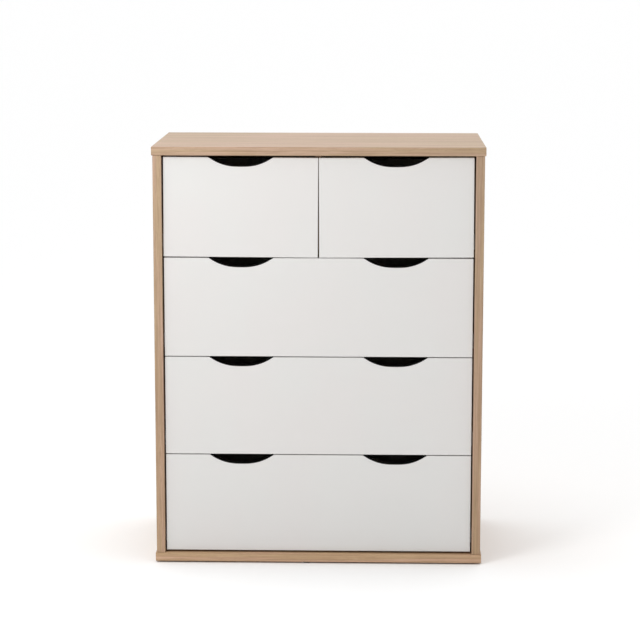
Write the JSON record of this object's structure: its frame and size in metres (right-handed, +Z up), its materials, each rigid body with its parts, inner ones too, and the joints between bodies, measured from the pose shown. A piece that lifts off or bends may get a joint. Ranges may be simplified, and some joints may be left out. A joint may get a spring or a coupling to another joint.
{
  "type": "chest of drawers",
  "caption": "Tall free-standing chest with two small drawers over full-width drawers, inset white fronts with scooped finger cut-outs.",
  "frame": {"origin": "centre of the footprint, on the floor under the glides", "axes": "+Z up; the drawer fronts face -Y and the drawers slide out along -Y; +X to the right as seen from the front"},
  "size_m": [0.69, 0.39, 0.883],
  "materials": {
    "oak_foil": "satin oak-effect foil on chipboard",
    "white_front": "matt white foil on board",
    "box_foil": "matt pale foil on chipboard",
    "back_board": "printed hardboard",
    "beech": "bare fluted beech",
    "black_edging": "matt black ABS edging",
    "runner_steel": "white epoxy powder coat",
    "zinc": "bright zinc plate",
    "nylon": "natural nylon",
    "glide_plastic": "dark brown polythene"
  },
  "bodies": {
    "carcass": {"top_panel": "oak_foil", "bottom_panel": "oak_foil", "left_side_panel": "oak_foil", "right_side_panel": "oak_foil", "front_rail": "oak_foil", "rear_rail": "oak_foil", "centre_divider": "oak_foil", "back_panel": "back_board", "carcass_runners": "runner_steel", "cam_locks": "zinc", "cam_bolts": "zinc", "wooden_dowels": "beech", "floor_glides": "glide_plastic", "back_nails": "zinc", "runner_screws": "zinc"},
    "lower_drawer": {"lower_drawer_front": "white_front", "lower_drawer_left_side": "box_foil", "lower_drawer_right_side": "box_foil", "lower_drawer_back": "box_foil", "lower_drawer_base": "back_board", "lower_drawer_cutout_edging": "black_edging", "lower_drawer_runners": "runner_steel"},
    "lower_drawer_rear_rollers": {"lower_drawer_rear_rollers": "nylon"},
    "lower_drawer_front_rollers": {"lower_drawer_front_rollers": "nylon"},
    "middle_drawer": {"middle_drawer_front": "white_front", "middle_drawer_left_side": "box_foil", "middle_drawer_right_side": "box_foil", "middle_drawer_back": "box_foil", "middle_drawer_base": "back_board", "middle_drawer_cutout_edging": "black_edging", "middle_drawer_runners": "runner_steel"},
    "middle_drawer_rear_rollers": {"middle_drawer_rear_rollers": "nylon"},
    "middle_drawer_front_rollers": {"middle_drawer_front_rollers": "nylon"},
    "upper_drawer": {"upper_drawer_front": "white_front", "upper_drawer_left_side": "box_foil", "upper_drawer_right_side": "box_foil", "upper_drawer_back": "box_foil", "upper_drawer_base": "back_board", "upper_drawer_cutout_edging": "black_edging", "upper_drawer_runners": "runner_steel"},
    "upper_drawer_rear_rollers": {"upper_drawer_rear_rollers": "nylon"},
    "upper_drawer_front_rollers": {"upper_drawer_front_rollers": "nylon"},
    "top_left_drawer": {"top_left_drawer_front": "white_front", "top_left_drawer_left_side": "box_foil", "top_left_drawer_right_side": "box_foil", "top_left_drawer_back": "box_foil", "top_left_drawer_base": "back_board", "top_left_drawer_cutout_edging": "black_edging", "top_left_drawer_runners": "runner_steel"},
    "top_left_drawer_rear_rollers": {"top_left_drawer_rear_rollers": "nylon"},
    "top_left_drawer_front_rollers": {"top_left_drawer_front_rollers": "nylon"},
    "top_right_drawer": {"top_right_drawer_front": "white_front", "top_right_drawer_left_side": "box_foil", "top_right_drawer_right_side": "box_foil", "top_right_drawer_back": "box_foil", "top_right_drawer_base": "back_board", "top_right_drawer_cutout_edging": "black_edging", "top_right_drawer_runners": "runner_steel"},
    "top_right_drawer_rear_rollers": {"top_right_drawer_rear_rollers": "nylon"},
    "top_right_drawer_front_rollers": {"top_right_drawer_front_rollers": "nylon"}
  },
  "joints": [
    {"name": "lower_drawer_slide", "type": "slide", "parent": "carcass", "child": "lower_drawer", "axis": [0, -1, 0], "range_m": [0, 0.26]},
    {"name": "lower_drawer_rear_rollers_turn", "type": "hinge", "parent": "lower_drawer", "child": "lower_drawer_rear_rollers", "pos_m": [0, 0.165, 0.051], "axis": [1, 0, 0], "continuous": true},
    {"name": "lower_drawer_front_rollers_turn", "type": "hinge", "parent": "carcass", "child": "lower_drawer_front_rollers", "pos_m": [0, -0.156, 0.0533], "axis": [1, 0, 0], "continuous": true},
    {"name": "middle_drawer_slide", "type": "slide", "parent": "carcass", "child": "middle_drawer", "axis": [0, -1, 0], "range_m": [0, 0.26]},
    {"name": "middle_drawer_rear_rollers_turn", "type": "hinge", "parent": "middle_drawer", "child": "middle_drawer_rear_rollers", "pos_m": [0, 0.165, 0.2603], "axis": [1, 0, 0], "continuous": true},
    {"name": "middle_drawer_front_rollers_turn", "type": "hinge", "parent": "carcass", "child": "middle_drawer_front_rollers", "pos_m": [0, -0.156, 0.2626], "axis": [1, 0, 0], "continuous": true},
    {"name": "upper_drawer_slide", "type": "slide", "parent": "carcass", "child": "upper_drawer", "axis": [0, -1, 0], "range_m": [0, 0.26]},
    {"name": "upper_drawer_rear_rollers_turn", "type": "hinge", "parent": "upper_drawer", "child": "upper_drawer_rear_rollers", "pos_m": [0, 0.165, 0.4696], "axis": [1, 0, 0], "continuous": true},
    {"name": "upper_drawer_front_rollers_turn", "type": "hinge", "parent": "carcass", "child": "upper_drawer_front_rollers", "pos_m": [0, -0.156, 0.4719], "axis": [1, 0, 0], "continuous": true},
    {"name": "top_left_drawer_slide", "type": "slide", "parent": "carcass", "child": "top_left_drawer", "axis": [0, -1, 0], "range_m": [0, 0.26]},
    {"name": "top_left_drawer_rear_rollers_turn", "type": "hinge", "parent": "top_left_drawer", "child": "top_left_drawer_rear_rollers", "pos_m": [-0.16605, 0.165, 0.6789], "axis": [1, 0, 0], "continuous": true},
    {"name": "top_left_drawer_front_rollers_turn", "type": "hinge", "parent": "carcass", "child": "top_left_drawer_front_rollers", "pos_m": [-0.16605, -0.156, 0.6812], "axis": [1, 0, 0], "continuous": true},
    {"name": "top_right_drawer_slide", "type": "slide", "parent": "carcass", "child": "top_right_drawer", "axis": [0, -1, 0], "range_m": [0, 0.26]},
    {"name": "top_right_drawer_rear_rollers_turn", "type": "hinge", "parent": "top_right_drawer", "child": "top_right_drawer_rear_rollers", "pos_m": [0.16605, 0.165, 0.6789], "axis": [1, 0, 0], "continuous": true},
    {"name": "top_right_drawer_front_rollers_turn", "type": "hinge", "parent": "carcass", "child": "top_right_drawer_front_rollers", "pos_m": [0.16605, -0.156, 0.6812], "axis": [1, 0, 0], "continuous": true}
  ],
  "couplings": [
    {"joint": "lower_drawer_rear_rollers_turn", "follows": "lower_drawer_slide", "rad_per_m": 121.95},
    {"joint": "lower_drawer_front_rollers_turn", "follows": "lower_drawer_slide", "rad_per_m": 111.11},
    {"joint": "middle_drawer_rear_rollers_turn", "follows": "middle_drawer_slide", "rad_per_m": 121.95},
    {"joint": "middle_drawer_front_rollers_turn", "follows": "middle_drawer_slide", "rad_per_m": 111.11},
    {"joint": "upper_drawer_rear_rollers_turn", "follows": "upper_drawer_slide", "rad_per_m": 121.95},
    {"joint": "upper_drawer_front_rollers_turn", "follows": "upper_drawer_slide", "rad_per_m": 111.11},
    {"joint": "top_left_drawer_rear_rollers_turn", "follows": "top_left_drawer_slide", "rad_per_m": 121.95},
    {"joint": "top_left_drawer_front_rollers_turn", "follows": "top_left_drawer_slide", "rad_per_m": 111.11},
    {"joint": "top_right_drawer_rear_rollers_turn", "follows": "top_right_drawer_slide", "rad_per_m": 121.95},
    {"joint": "top_right_drawer_front_rollers_turn", "follows": "top_right_drawer_slide", "rad_per_m": 111.11}
  ]
}
